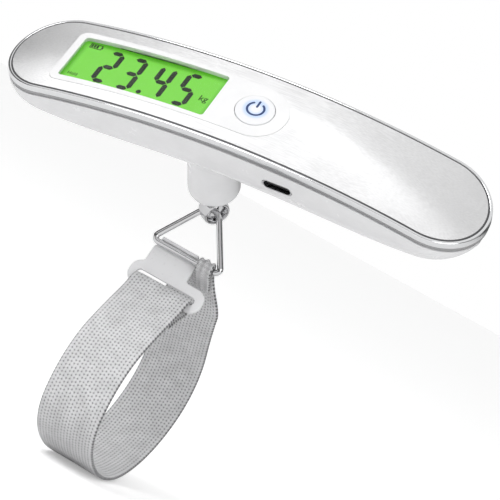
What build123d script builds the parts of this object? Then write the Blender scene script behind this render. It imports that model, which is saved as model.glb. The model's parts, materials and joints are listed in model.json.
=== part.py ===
from build123d import *
from math import atan2, cos, degrees, radians, sin, sqrt, tan
import os

# Digital luggage scale. X runs along the handle, +Y is its rear side and +Z is up.
# The handle is drawn level, with the crown of its top face at the origin, and is then turned
# about X to the tilt at which it is held, and its plain end is lifted. The strap hangs plumb
# below it and is drawn where it hangs.

# handle
handle_length = 150.0
handle_width = 31.0
arch_radius = 278.0
tilt = 52.0
lift = 7.0
rim_height = 3.4
hull_depth = 17.6
hull_taper = 4.1
hull_close = 0.83
hull_fullness = 0.73
wall = 1.8
joint_gap = 0.05
contact_gap = 0.02
cut_slack = 1.0
seam_gap = 0.08

# top cover
trim_width = 0.9
trim_bevel = 0.5
lip_width = 0.35
plate_thickness = 0.6
deck_thickness = 1.6
skirt_height = 2.6
skirt_thickness = 1.1
skirt_clearance = 0.25
skirt_reach = 60.0
lcd_clearance = 0.5

# control panel and display
panel_border = 2.4
panel_corner = 2.6
panel_height = 21.2
panel_end_radius = 9.8
panel_proud = 0.15
panel_thickness = 1.5
window_length = 46.9
window_height = 17.1
window_inset = 42.6
window_corner = 1.0
window_recess = 0.35
window_thickness = 1.0
lcd_drop = 2.5
lcd_thickness = 1.1
lcd_margin = 0.6
backlight_margin = 0.6
zebra_width = 1.4
light_depth = 8.0

# button and switch
button_centre = 3.2
button_radius = 5.7
button_gap = 0.15
button_proud = 0.45
button_flange = 0.7
flange_thickness = 0.9
flange_clearance = 0.2
stem_radius = 1.6
button_travel = 0.4
button_edge = 0.3
well_clearance = 0.1
well_floor = 1.0
plunger_lift = 0.2
switch_size = 6.0
switch_height = 3.4
plunger_radius = 1.5
plunger_height = 1.2
plunger_gap = 0.06

# boards
board_top = -9.4
board_thickness = 1.2
board_clearance = 0.2
board_inset = 18.0
board_right = 7.4
nut_window = 5.6
chip_height = 1.2
controller_offset = 17.0
controller_size = 9.0
pin_reach = 1.0
pin_height = 0.4
amplifier_offset = 6.0
amplifier_length = 4.0
amplifier_width = 5.0
port_centre = 17.9
port_height = -9.8
port_across = 9.0
port_tall = 3.2
port_length = 7.4
port_recess = 0.5
port_metal = 0.3
port_clearance = 0.2
port_reach = 5.0
socket_back = 1.0
tongue_set_back = 0.8
tongue_base_depth = 1.6
tongue_base_clearance = 0.1
tongue_across = 6.7
tongue_tall = 0.7
charge_board_length = 15.0
charge_board_width = 16.0
charge_board_thickness = 1.0
charge_board_centre = 19.4
charge_board_inset = 1.6
charge_chip_size = 4.0
charge_chip_offset = 5.0
charge_post_spread = 5.5
charge_post_back = 3.9
charge_post_base = -19.2
charge_post_radius = 1.2
flex_width = 6.0
flex_thickness = 0.3
flex_overlap = 2.2
flex_landing = 1.1
flex_run = 2.4
flex_bend = 0.7
flex_shift = 3.0

# battery
battery_left = 29.5
battery_width = 16.0
battery_height = 6.0
battery_inset = 15.5
battery_base = -17.5
battery_edge = 1.6
pad_thickness = 1.0
pad_length = 24.0
pad_width = 9.0
plug_length = 6.0
plug_width = 6.4
plug_height = 3.2
plug_inset = 1.5
lead_radius = 0.45
lead_pitch = 2.4

# load cell
eye_x = -9.5
boss_radius = 7.8
boss_bottom = -39.9
boss_edge = 3.6
boss_root = 6.0
rod_radius = 2.5
rod_clearance = 0.1
bore_radius = 3.4
bush_radius = 4.4
bush_length = 7.0
bush_recess = 0.6
bracket_length = 46.0
bracket_width = 13.0
bracket_thickness = 1.3
bracket_base = -18.0
foot_length = 9.0
foot_height = 0.7
cell_length = 44.0
cell_width = 12.0
cell_height = 3.2
flexure_radius = 1.2
flexure_offset = 9.5
washer_radius = 4.6
washer_thickness = 0.6
nut_across = 8.0
nut_height = 1.9
gauge_length = 5.0
gauge_width = 7.0
gauge_thickness = 0.25
gauge_lead_radius = 0.3
gauge_lead_pitch = 2.6
gauge_lead_inset = 2.0
gauge_lead_run = 3.2
gauge_lead_slope = 2.4
cell_screw_radius = 1.45
cell_screw_head = 2.5
cell_screw_head_height = 1.2
cell_screw_offset = 18.0
cell_screw_clearance = 0.1
cell_screw_slack = 0.03
cell_screw_end = 0.2
cell_slot_length = 3.0
cell_slot_width = 0.6
slot_depth = 0.5
nut_bevel = 0.4
rod_end = 0.3
seat_height = 1.6
seat_margin = 1.0
bush_wall_gap = 0.02

# eye
eye_depth = 47.3
eye_radius = 4.3
eye_width = 3.6
eye_hole = 2.5
eye_round = 0.8

# housing screws
post_radius = 1.7
post_side_inset = 4.4
post_end_inset = 31.0
end_post_inset = 8.5
post_split = -11.0
pilot_radius = 0.8
screw_radius = 0.85
screw_slack = 0.25
screw_head_radius = 1.6
screw_head_height = 1.1
screw_seat = -15.0
tube_radius = 2.45
screw_grip = 2.0
screw_clearance = 0.1
screw_bite = 0.02
screw_slot_length = 2.0
screw_slot_width = 0.45
tube_drop = 2.5
tube_height = 3.5
pad_seat = 3.0
skin = 0.5

# triangle ring
wire_radius = 0.95
ring_width = 24.6
ring_height = 16.4
ring_lean = 7.0
ring_corner = 1.3
ring_apex = 3.6
apex_drop = 0.35

# hook plate
plate_offset = -0.4
plate_lean = 20.0
sheet = 1.0
hook_clearance = 0.15
curl_offset = -2.9
curl_width = 12.6
curl_reach = 0.3
neck_offset = -3.2
neck_width = 14.6
neck_top = -0.4
ear_width = 25.4
ear_top = -6.6
ear_bottom = -14.4
ear_radius = 3.4
neck_round = 1.2
slot_width = 20.4
slot_top = -9.5
slot_height = 2.6
ear_edge = 0.25

# strap
strap_offset = 1.2
strap_width = 19.0
strap_thickness = 1.5
fold_gap = 0.12
fold_run = 8.0
tab_offset = 7.7
tab_width = 3.8
tab_wrap = 1.3
tab_run = 14.0
tab_start = 0.7
strap_route = [(-22.4, -27.5), (-27.4, -43.5), (-24.4, -57.5), (-10.4, -68)]
strap_route += [(9.6, -69), (26.6, -59.5), (34.6, -43), (29, -28)]

half_length = handle_length / 2
wall_y = handle_width / 2
window_centre = window_inset - half_length
post_x = half_length - post_end_inset
post_y = wall_y - post_side_inset
end_post_x = half_length - end_post_inset
board_left = board_inset - half_length
controller_x = board_left + controller_offset
amplifier_x = board_left + amplifier_offset
board_width = 2 * (post_y - post_radius - board_clearance)
battery_length = half_length - battery_inset - battery_left
battery_centre = battery_left + battery_length / 2
plate_inset = trim_width + lip_width + 2 * joint_gap
deck_bottom = -plate_thickness - deck_thickness
board_bottom = board_top - board_thickness
charge_top = port_height - port_tall / 2
cell_base = bracket_base + bracket_thickness + foot_height
cell_top = cell_base + cell_height
washer_top = cell_top + washer_thickness + joint_gap
held = Location((0, 0, 0), (0, -lift, 0)) * Location((0, 0, 0), (tilt, 0, 0))


def crown(x):
    """Height of the arched top face at a place along the handle."""
    return sqrt(arch_radius**2 - x**2) - arch_radius


def arch_layer(outline, top, bottom):
    """Prism of an outline, cut to a layer that follows the arch between two heights."""
    with BuildPart() as layer:
        with BuildSketch(Plane.XY.offset(-half_length / 2)):
            add(outline)
        extrude(amount=half_length)
        with BuildSketch(Plane.XZ):
            with Locations((0, -arch_radius)):
                Circle(arch_radius + top)
                Circle(arch_radius + bottom, mode=Mode.SUBTRACT)
        extrude(amount=handle_width, both=True, mode=Mode.INTERSECT)
    return layer.part


def slot_outline(inset):
    """Plan of the handle, drawn in by an inset."""
    with BuildSketch() as plan:
        SlotOverall(handle_length - 2 * inset, handle_width - 2 * inset)
    return plan.sketch


def panel_outline(inset):
    """Plan of the control panel: squared at the display and round about the button."""
    left = window_centre - window_length / 2 - panel_border + inset
    side = panel_height / 2 - inset
    end = panel_end_radius - inset
    with BuildSketch() as plan:
        with BuildLine():
            Polyline((button_centre, end), (left, side), (left, -side), (button_centre, -end))
            ThreePointArc((button_centre, -end), (button_centre + end, 0), (button_centre, end))
        make_face()
        fillet(plan.vertices().group_by(Axis.X)[0], panel_corner)
    return plan.sketch


def window_outline(margin):
    """Plan of the display opening, grown by a margin."""
    with BuildSketch() as plan:
        with Locations((window_centre, 0)):
            RectangleRounded(window_length + 2 * margin, window_height + 2 * margin, window_corner)
    return plan.sketch


def button_outline(radius):
    """Plan of a disc at the button."""
    with BuildSketch() as plan:
        with Locations((button_centre, 0)):
            Circle(radius)
    return plan.sketch


def hull_section(inset, rise, x):
    """Cross-section of the hull at a place along the handle."""
    reach = half_length - inset
    half_width = handle_width / 2 - inset
    past = max(0, abs(x) - reach + half_width)
    side = sqrt(half_width**2 - past**2)
    share = (1 - (abs(x) / reach) ** hull_taper) ** hull_close
    rim = crown(x) - rim_height
    deep = rim - (hull_depth - inset) * share
    low = rim + hull_fullness * (deep - rim)
    tuck = hull_fullness * side
    with BuildSketch(Plane.YZ.offset(x)) as section:
        with BuildLine():
            Bezier((-side, rim), (-side, low), (-tuck, deep), (0, deep))
            Bezier((0, deep), (tuck, deep), (side, low), (side, rim))
            Polyline((side, rim), (side, rim + rise), (-side, rim + rise), (-side, rim))
        make_face()
    return section.sketch


def hull(inset, rise):
    """Lower half of the handle, drawn in by an inset, and raised above its rim."""
    half_width = handle_width / 2 - inset
    round_start = half_length - inset - half_width
    middle = [round_start * step / 3 for step in range(-3, 4)]
    ends = [round_start + half_width * sin(radians(turn)) for turn in (0, 25, 45, 60, 73)]
    with BuildPart() as body:
        for places in (middle, ends, [-place for place in reversed(ends)]):
            loft([hull_section(inset, rise, x) for x in places])
    return body.part


def block(x, y, z, length, width, height):
    """Level block centred on x and y, standing on z."""
    with BuildPart() as solid:
        with BuildSketch(Plane.XY.offset(z)):
            with Locations((x, y)):
                Rectangle(length, width)
        extrude(amount=height)
    return solid.part


def column(places, z, radius, height):
    """Upright cylinders at several places, standing on z."""
    with BuildPart() as solid:
        with BuildSketch(Plane.XY.offset(z)):
            with Locations(*places):
                Circle(radius)
        extrude(amount=height)
    return solid.part


def upright_plane(y, z, lean):
    """Plane that faces forward, at a height on the YZ plane, leaning forward as it goes down."""
    turn = radians(lean)
    return Plane((0, y, z), x_dir=(1, 0, 0), z_dir=(0, -cos(turn), sin(turn)))


def side_plane(x, y, z, lean):
    """Plane across X, with local x to the rear and local y up the same lean."""
    turn = radians(lean)
    return Plane((x, y, z), x_dir=(0, cos(turn), -sin(turn)), z_dir=(1, 0, 0))


def bend_radii(points):
    """Largest even bend for each corner of a route."""
    radii = []
    for before, corner, after in zip(points, points[1:], points[2:]):
        first = Vector(*corner) - Vector(*before)
        second = Vector(*after) - Vector(*corner)
        turn = radians(first.get_angle(second))
        radii.append(0.45 * min(first.length, second.length) / tan(turn / 2))
    return radii


pair_posts = [(x, y) for x in (-post_x, post_x) for y in (-post_y, post_y)]
end_posts = [(-end_post_x, 0), (end_post_x, 0)]
posts = pair_posts + end_posts
cell_screws_at = [(eye_x - cell_screw_offset, 0), (eye_x + cell_screw_offset, 0)]
handle_nodes = {}
strap_nodes = {}

# top cover: plated trim, inner frame, brushed plate and white panel
with BuildPart() as chrome_trim:
    add(arch_layer(slot_outline(0), 0, -rim_height))
    chamfer(chrome_trim.faces().sort_by(SortBy.AREA)[-2:].edges(), trim_bevel)
    add(arch_layer(slot_outline(trim_width), 1, -rim_height - 1), mode=Mode.SUBTRACT)
handle_nodes["chrome_trim"] = chrome_trim

with BuildPart() as upper_frame:
    add(arch_layer(slot_outline(trim_width + joint_gap), 0, deck_bottom))
    add(arch_layer(slot_outline(trim_width + joint_gap + lip_width), 1, -plate_thickness), mode=Mode.SUBTRACT)
    skirt_inset = wall + skirt_clearance
    skirt_base = deck_bottom - skirt_height
    skirt = arch_layer(slot_outline(skirt_inset), deck_bottom, skirt_base)
    hollow = arch_layer(slot_outline(skirt_inset + skirt_thickness), deck_bottom, skirt_base - 1)
    add((skirt - hollow) & block(0, 0, -half_length, 2 * skirt_reach, handle_width, handle_length))
    for place in posts:
        post_top = crown(place[0]) + (deck_bottom - plate_thickness) / 2
        add(column([place], post_split + joint_gap, post_radius, post_top - post_split - joint_gap))
        add(column([place], post_split, pilot_radius, post_top - post_split - 0.5), mode=Mode.SUBTRACT)
    pocket_floor = panel_proud - panel_thickness - joint_gap
    add(arch_layer(panel_outline(-joint_gap), 0.5, pocket_floor), mode=Mode.SUBTRACT)
    add(arch_layer(window_outline(lcd_margin + lcd_clearance), 0.5, deck_bottom - 0.5), mode=Mode.SUBTRACT)
    flange_hole = button_radius + button_flange + button_gap
    add(arch_layer(button_outline(flange_hole), 0.5, deck_bottom - 0.5), mode=Mode.SUBTRACT)
handle_nodes["upper_frame"] = upper_frame

with BuildPart() as top_plate:
    add(arch_layer(slot_outline(plate_inset), 0, joint_gap - plate_thickness))
    add(arch_layer(panel_outline(-joint_gap), 1, -plate_thickness - 1), mode=Mode.SUBTRACT)
handle_nodes["top_plate"] = top_plate

with BuildPart() as control_panel:
    add(arch_layer(panel_outline(0), panel_proud, panel_proud - panel_thickness))
    add(arch_layer(window_outline(0), 1, -3), mode=Mode.SUBTRACT)
    add(arch_layer(button_outline(button_radius + button_gap), 1, -3), mode=Mode.SUBTRACT)
handle_nodes["control_panel"] = control_panel

with BuildPart() as display_window:
    add(arch_layer(window_outline(-joint_gap), -window_recess, -window_recess - window_thickness))
handle_nodes["display_window"] = display_window

# display: glass cell on a wedge of light guide, with its contact strip
window_slope = Plane(
    (window_centre, 0, crown(window_centre)),
    x_dir=(sqrt(arch_radius**2 - window_centre**2), 0, -window_centre),
    z_dir=(window_centre, 0, sqrt(arch_radius**2 - window_centre**2)),
)
lcd_length = window_length + 2 * lcd_margin
lcd_height = window_height + 2 * lcd_margin
with BuildPart() as lcd_panel:
    with BuildSketch(window_slope.offset(-lcd_drop - lcd_thickness)):
        Rectangle(lcd_length, lcd_height)
    extrude(amount=lcd_thickness)
handle_nodes["lcd_panel"] = lcd_panel

light_length = lcd_length - 2 * backlight_margin
below_board = (2 * lcd_length, handle_width, light_depth + joint_gap)
with BuildPart() as backlight:
    with BuildSketch(window_slope.offset(-lcd_drop - lcd_thickness - joint_gap)):
        with Locations((0, zebra_width / 2)):
            Rectangle(light_length, lcd_height - 2 * backlight_margin - zebra_width)
    extrude(amount=-light_depth)
    add(block(window_centre, 0, board_top - light_depth, *below_board), mode=Mode.SUBTRACT)
handle_nodes["backlight"] = backlight

with BuildPart() as contact_strip:
    with BuildSketch(window_slope.offset(-lcd_drop - lcd_thickness - joint_gap)):
        with Locations((0, -lcd_height / 2 + backlight_margin + zebra_width / 2 - joint_gap)):
            Rectangle(light_length, zebra_width - 2 * joint_gap)
    extrude(amount=-light_depth)
    add(block(window_centre, 0, board_top - light_depth, *below_board), mode=Mode.SUBTRACT)
handle_nodes["contact_strip"] = contact_strip

# button and its switch
flange_top = panel_proud - panel_thickness - flange_clearance
flange_base = flange_top - flange_thickness
plunger_top = board_top + switch_height + plunger_height
with BuildPart() as power_button:
    add(arch_layer(button_outline(button_radius), button_proud, flange_top))
    fillet(power_button.edges().group_by(Axis.Z)[-1], button_edge)
    add(arch_layer(button_outline(button_radius + button_flange), flange_top, flange_base))
    stem_base = plunger_top + plunger_gap
    add(column([(button_centre, 0)], stem_base, stem_radius, flange_base - stem_base + flange_thickness / 2))
handle_nodes["power_button"] = power_button

switch_base = board_top + joint_gap
with BuildPart() as switch_body:
    add(block(button_centre, 0, switch_base, switch_size, switch_size, switch_height - joint_gap))
    well = plunger_radius + well_clearance
    add(column([(button_centre, 0)], board_top + well_floor, well, switch_height), mode=Mode.SUBTRACT)
handle_nodes["switch_body"] = switch_body

with BuildPart() as switch_plunger:
    plunger_base = board_top + well_floor + button_travel + plunger_lift
    add(column([(button_centre, 0)], plunger_base, plunger_radius, plunger_top - plunger_base))
handle_nodes["switch_plunger"] = switch_plunger

# main board
with BuildPart() as main_board:
    board_length = board_right - board_left
    add(block(board_left + board_length / 2, 0, board_bottom, board_length, board_width, board_thickness))
    add(column([(eye_x, 0)], board_bottom - 1, nut_window, board_thickness + 2), mode=Mode.SUBTRACT)
handle_nodes["main_board"] = main_board

controller_base = board_bottom - chip_height - joint_gap
pin_y = (controller_size + pin_reach) / 2
with BuildPart() as controller_chip:
    add(block(controller_x, 0, controller_base, controller_size, controller_size, chip_height))
    with Locations(*[(controller_x, side * pin_y, controller_base + pin_height) for side in (-1, 1)]):
        Box(controller_size - 2 * pin_reach, pin_reach, pin_height)
handle_nodes["controller_chip"] = controller_chip

with BuildPart() as amplifier_chip:
    add(block(amplifier_x, 0, controller_base, amplifier_length, amplifier_width, chip_height))
handle_nodes["amplifier_chip"] = amplifier_chip

# charging board and its socket
with BuildPart() as charge_board:
    charge_y = -wall_y + wall + charge_board_inset + charge_board_width / 2
    charge_base = charge_top - charge_board_thickness
    add(block(charge_board_centre, charge_y, charge_base, charge_board_length, charge_board_width,
              charge_board_thickness))
handle_nodes["charge_board"] = charge_board

port_face = Plane((port_centre, -wall_y + port_recess, port_height), x_dir=(1, 0, 0), z_dir=(0, 1, 0))
with BuildPart() as charging_socket:
    with BuildSketch(port_face):
        SlotOverall(port_across, port_tall - 2 * joint_gap)
    extrude(amount=port_length)
    with BuildSketch(port_face):
        SlotOverall(port_across - 2 * port_metal, port_tall - 2 * joint_gap - 2 * port_metal)
    extrude(amount=port_length - socket_back, mode=Mode.SUBTRACT)
handle_nodes["charging_socket"] = charging_socket

with BuildPart() as socket_tongue:
    with BuildSketch(port_face.offset(tongue_set_back)):
        Rectangle(tongue_across, tongue_tall)
    extrude(amount=port_length - tongue_set_back - socket_back - joint_gap)
    base_margin = 2 * (port_metal + tongue_base_clearance)
    with BuildSketch(port_face.offset(port_length - socket_back - tongue_base_depth)):
        SlotOverall(port_across - base_margin, port_tall - 2 * joint_gap - base_margin)
    extrude(amount=tongue_base_depth - joint_gap)
handle_nodes["socket_tongue"] = socket_tongue

with BuildPart() as charge_chip:
    chip_y = charge_y + charge_chip_offset
    add(block(charge_board_centre, chip_y, charge_top + joint_gap, charge_chip_size, charge_chip_size,
              chip_height))
handle_nodes["charge_chip"] = charge_chip

with BuildPart() as board_flex:
    flex_high = board_top + joint_gap + flex_thickness / 2
    flex_low = charge_top + joint_gap + flex_thickness / 2
    flex_end = charge_board_centre - charge_board_length / 2 + flex_overlap
    with BuildSketch(Plane.XZ.offset(-charge_y - flex_shift)):
        with BuildLine() as ribbon:
            flex_points = [(board_right - flex_landing, flex_high), (board_right + flex_landing, flex_high)]
            flex_points += [(flex_end - flex_run, flex_low), (flex_end, flex_low)]
            FilletPolyline(*flex_points, radius=flex_bend)
        trace(ribbon.line, flex_thickness)
    extrude(amount=flex_width / 2, both=True)
handle_nodes["board_flex"] = board_flex

# battery, on a foam pad, with its plug and leads
with BuildPart() as battery:
    add(block(battery_centre, 0, battery_base, battery_length, battery_width, battery_height))
    fillet(battery.edges().filter_by(Axis.X), battery_edge)
handle_nodes["battery"] = battery

with BuildPart() as battery_pad:
    pad_base = battery_base - pad_thickness
    add(block(battery_centre, 0, pad_base, pad_length, pad_width, pad_thickness - joint_gap))
handle_nodes["battery_pad"] = battery_pad

plug_right = charge_board_centre + charge_board_length / 2 - plug_inset
lead_height = charge_base - plug_height / 2
with BuildPart() as battery_plug:
    add(block(plug_right - plug_length / 2, 0, charge_base - plug_height - joint_gap, plug_length, plug_width,
              plug_height))
handle_nodes["battery_plug"] = battery_plug

for lead, side in (("battery_lead_plus", 1), ("battery_lead_minus", -1)):
    with BuildPart() as battery_lead:
        with BuildSketch(Plane.YZ.offset(plug_right)):
            with Locations((side * lead_pitch / 2, lead_height)):
                Circle(lead_radius)
        extrude(amount=battery_left - plug_right)
    handle_nodes[lead] = battery_lead

# load cell: bracket, bent beam with its gauges, and two screws
with BuildPart() as cell_bracket:
    add(block(eye_x, 0, bracket_base, bracket_length, bracket_width, bracket_thickness))
    foot_x = (bracket_length - foot_length) / 2
    bracket_cut = bracket_thickness + foot_height + 2 * cut_slack
    for side in (-1, 1):
        add(block(eye_x + side * foot_x, 0, bracket_base, foot_length, cell_width,
                  bracket_thickness + foot_height - joint_gap))
    add(column([(eye_x, 0)], bracket_base - cut_slack, bore_radius, bracket_cut), mode=Mode.SUBTRACT)
    add(column(cell_screws_at, bracket_base - cut_slack, cell_screw_radius, bracket_cut), mode=Mode.SUBTRACT)
handle_nodes["cell_bracket"] = cell_bracket

cell_cut = cell_height + 2 * cut_slack
rod_hole = rod_radius + rod_clearance
cell_screw_hole = cell_screw_radius + cell_screw_clearance
with BuildPart() as load_cell:
    add(block(eye_x, 0, cell_base, cell_length, cell_width, cell_height))
    add(column([(eye_x, 0)], cell_base - cut_slack, rod_hole, cell_cut), mode=Mode.SUBTRACT)
    add(column(cell_screws_at, cell_base - cut_slack, cell_screw_hole, cell_cut), mode=Mode.SUBTRACT)
    with BuildSketch(Plane.XZ):
        with Locations(*[(eye_x + side * flexure_offset, cell_base + cell_height / 2) for side in (-1, 1)]):
            Circle(flexure_radius)
    extrude(amount=cell_width, both=True, mode=Mode.SUBTRACT)
handle_nodes["load_cell"] = load_cell

with BuildPart() as strain_gauges:
    for side in (-1, 1):
        gauge_x = eye_x + side * flexure_offset
        add(block(gauge_x, 0, cell_top + contact_gap, gauge_length, gauge_width, gauge_thickness))
handle_nodes["strain_gauges"] = strain_gauges

lead_z = cell_top + gauge_thickness + gauge_lead_radius + joint_gap
lead_end = board_bottom - gauge_lead_radius
for index, colour in enumerate(("red", "black", "white", "green")):
    hand = 1 if index < 2 else -1
    lead_y = (index % 2 - 0.5) * gauge_lead_pitch
    lead_x = eye_x + hand * (flexure_offset - gauge_lead_inset)
    lead_turn = lead_x + hand * gauge_lead_run
    lead_points = [(lead_x, lead_y, lead_z), (lead_turn, lead_y, lead_z)]
    lead_points += [(lead_turn + hand * gauge_lead_slope, lead_y, lead_end)]
    with BuildPart() as gauge_lead:
        with BuildLine() as lead_line:
            FilletPolyline(*lead_points, radius=bend_radii(lead_points)[0])
        with BuildSketch(Plane(lead_points[0], z_dir=(hand, 0, 0))):
            Circle(gauge_lead_radius)
        sweep(path=lead_line.line)
    handle_nodes[f"gauge_lead_{colour}"] = gauge_lead

with BuildPart() as cell_screws:
    screw_base = bracket_base + cell_screw_end
    add(column(cell_screws_at, screw_base, cell_screw_radius - cell_screw_slack, cell_top - screw_base))
    add(column(cell_screws_at, cell_top + contact_gap, cell_screw_head, cell_screw_head_height))
    with BuildSketch(Plane.XY.offset(cell_top + cell_screw_head_height - slot_depth)):
        with Locations(*cell_screws_at):
            Rectangle(cell_slot_length, cell_slot_width)
            Rectangle(cell_slot_width, cell_slot_length)
    extrude(amount=2 * slot_depth, mode=Mode.SUBTRACT)
handle_nodes["cell_screws"] = cell_screws

with BuildPart() as thrust_washer:
    add(column([(eye_x, 0)], cell_top + contact_gap, washer_radius, washer_thickness - contact_gap))
    add(column([(eye_x, 0)], cell_top - cut_slack, rod_hole, washer_thickness + 2 * cut_slack),
        mode=Mode.SUBTRACT)
handle_nodes["thrust_washer"] = thrust_washer

with BuildPart() as rod_nut:
    with BuildSketch(Plane.XY.offset(washer_top)):
        with Locations((eye_x, 0)):
            RegularPolygon(nut_across / 2, 6, major_radius=False)
            Circle(rod_radius, mode=Mode.SUBTRACT)
    extrude(amount=nut_height)
    chamfer(rod_nut.edges().group_by(Axis.Z)[-1].filter_by(GeomType.LINE), nut_bevel)
handle_nodes["rod_nut"] = rod_nut

# rod with its eye
with BuildPart() as load_eye:
    with BuildSketch(Plane.YZ.offset(eye_x)):
        with Locations((0, -eye_depth)):
            Circle(eye_radius)
    extrude(amount=eye_width / 2, both=True)
    fillet(load_eye.edges().filter_by(GeomType.CIRCLE), eye_round)
    add(column([(eye_x, 0)], -eye_depth, rod_radius, eye_depth + washer_top + nut_height + rod_end))
    with BuildSketch(Plane.YZ.offset(eye_x)):
        with Locations((0, -eye_depth)):
            Circle(eye_hole)
    extrude(amount=eye_width, both=True, mode=Mode.SUBTRACT)
    mouths = load_eye.edges().filter_by(GeomType.CIRCLE)
    mouths = mouths.filter_by(
        lambda edge: abs(edge.radius - eye_hole) < 0.01 and edge.center().Z < eye_hole - eye_depth)
    fillet(mouths, eye_round)
handle_nodes["load_eye"] = load_eye

# lower shell: hull, boss, seats, posts and openings
with BuildPart() as lower_shell:
    add(hull(joint_gap, skin))
    add(arch_layer(slot_outline(-1), 5, -rim_height - seam_gap), mode=Mode.SUBTRACT)
    add(column([(eye_x, 0)], boss_bottom, boss_radius, -rim_height - boss_bottom - 3))
    root = lower_shell.edges().filter_by(GeomType.BSPLINE).filter_by(
        lambda edge: edge.length < 8 * boss_radius and edge.center().Z < bracket_base)
    fillet(root, boss_root)
    fillet(lower_shell.edges().group_by(Axis.Z)[0], boss_edge)
    add(hull(wall, 6), mode=Mode.SUBTRACT)
    seat_base = bracket_base - seat_height
    add(block(eye_x, 0, seat_base, bracket_length + 2 * seat_margin, bracket_width + seat_margin,
              seat_height))
    add(block(battery_centre, 0, pad_base - pad_seat, pad_length, pad_width, pad_seat))
    for place in posts:
        add(column([place], screw_seat - tube_drop, tube_radius, tube_height))
        add(column([place], screw_seat, post_radius, post_split - screw_seat))
    charge_posts = [(charge_board_centre + charge_post_spread * side, charge_y - charge_post_back)
                    for side in (-1, 1)]
    charge_post_height = charge_base - charge_post_base - joint_gap
    add(column(charge_posts, charge_post_base, charge_post_radius, charge_post_height))
    boss_base = boss_bottom - cut_slack
    add(column([(eye_x, 0)], boss_base, bore_radius, bracket_base - boss_base + cut_slack),
        mode=Mode.SUBTRACT)
    add(column([(eye_x, 0)], boss_base, bush_radius + bush_wall_gap, bush_recess + bush_length + cut_slack),
        mode=Mode.SUBTRACT)
    add(column(cell_screws_at, bracket_base - seat_height + skin, cell_screw_hole, seat_height),
        mode=Mode.SUBTRACT)
    add(column(posts, screw_seat - hull_depth, screw_head_radius + screw_slack, hull_depth),
        mode=Mode.SUBTRACT)
    add(column(posts, screw_seat - hull_depth, screw_radius + screw_clearance, 2 * hull_depth),
        mode=Mode.SUBTRACT)
    with BuildSketch(port_face.offset(-port_reach)):
        SlotOverall(port_across + 2 * port_clearance, port_tall + 2 * port_clearance)
    extrude(amount=port_reach + wall + port_recess + skin, mode=Mode.SUBTRACT)
handle_nodes["lower_shell"] = lower_shell

with BuildPart() as boss_bush:
    add(column([(eye_x, 0)], boss_bottom + bush_recess, bush_radius, bush_length))
    add(column([(eye_x, 0)], boss_base, rod_hole, bush_recess + bush_length + 2 * cut_slack),
        mode=Mode.SUBTRACT)
handle_nodes["boss_bush"] = boss_bush

with BuildPart() as housing_screws:
    add(column(posts, screw_seat - screw_head_height, screw_head_radius, screw_head_height - joint_gap))
    for place in posts:
        reach = min(post_split + screw_grip, crown(place[0]) + deck_bottom)
        shank_base = screw_seat - skin
        add(column([place], shank_base, pilot_radius - screw_bite, reach - shank_base))
    with BuildSketch(Plane.XY.offset(screw_seat - screw_head_height - slot_depth)):
        with Locations(*posts):
            Rectangle(screw_slot_length, screw_slot_width)
            Rectangle(screw_slot_width, screw_slot_length)
    extrude(amount=2 * slot_depth, mode=Mode.SUBTRACT)
handle_nodes["housing_screws"] = housing_screws

# triangle ring, hung in the eye
eye_level = -eye_depth * cos(radians(tilt))
hang_x = eye_x * cos(radians(lift)) - eye_level * sin(radians(lift))
eye_y = eye_depth * sin(radians(tilt))
eye_z = eye_x * sin(radians(lift)) + eye_level * cos(radians(lift))
bar_y = eye_y - ring_height * sin(radians(ring_lean))
bar_z = eye_z - ring_height * cos(radians(ring_lean))
apex_rise = 0
for _ in range(12):
    slant = sqrt((ring_width / 2) ** 2 + (ring_height + apex_rise) ** 2)
    apex_rise = ring_apex * (2 * slant / ring_width - 1) - apex_drop
with BuildPart() as triangle_ring:
    ring_plane = upright_plane(eye_y, eye_z, ring_lean)
    with BuildLine(ring_plane) as ring_line:
        corner = ring_width / 2
        FilletPolyline(
            (hang_x, apex_rise), (hang_x + corner, -ring_height), (hang_x - corner, -ring_height),
            radius=(ring_apex, ring_corner, ring_corner), close=True,
        )
    with BuildSketch(side_plane(hang_x, bar_y, bar_z, 0)):
        Circle(wire_radius)
    sweep(path=ring_line.line)
strap_nodes["triangle_ring"] = triangle_ring

# hook plate, passed up behind the ring's bar and curled forward over its top
plate_x = hang_x + plate_offset
curl_x = hang_x + curl_offset
neck_x = hang_x + neck_offset
front = wire_radius + hook_clearance + sheet
with BuildPart() as hook_plate:
    with BuildSketch(side_plane(curl_x, bar_y, bar_z, plate_lean)):
        Circle(front)
        with Locations((front / 2, -front / 2)):
            Rectangle(front, front)
        Circle(front - sheet, mode=Mode.SUBTRACT)
        with Locations(((front - sheet) / 2, -front)):
            Rectangle(front - sheet, 2 * front, mode=Mode.SUBTRACT)
        with Locations((-front, 0)):
            Rectangle(2 * (front - curl_reach), 3 * front, mode=Mode.SUBTRACT)
        with Locations((0, -front)):
            Rectangle(2 * (front - sheet), 2 * front, mode=Mode.SUBTRACT)
    extrude(amount=curl_width / 2, both=True)
    with BuildSketch(upright_plane(bar_y, bar_z, plate_lean).offset(-front)) as face:
        with Locations((neck_x, (neck_top + ear_top - ear_radius) / 2)):
            Rectangle(neck_width, neck_top - ear_top + ear_radius)
        with Locations((plate_x, (ear_top + ear_bottom) / 2)):
            RectangleRounded(ear_width, ear_top - ear_bottom, ear_radius)
        notches = face.vertices().filter_by(lambda v: abs(abs(v.X - neck_x) - neck_width / 2) < 0.01)
        fillet(notches.group_by(Axis.Z)[0], neck_round)
        with Locations((plate_x, slot_top - slot_height / 2)):
            SlotOverall(slot_width, slot_height, mode=Mode.SUBTRACT)
    extrude(amount=sheet)
    fillet(hook_plate.edges().filter_by(GeomType.CIRCLE).filter_by(
        lambda edge: abs(edge.radius - ear_radius) < 0.01), ear_edge)
strap_nodes["hook_plate"] = hook_plate

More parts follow.
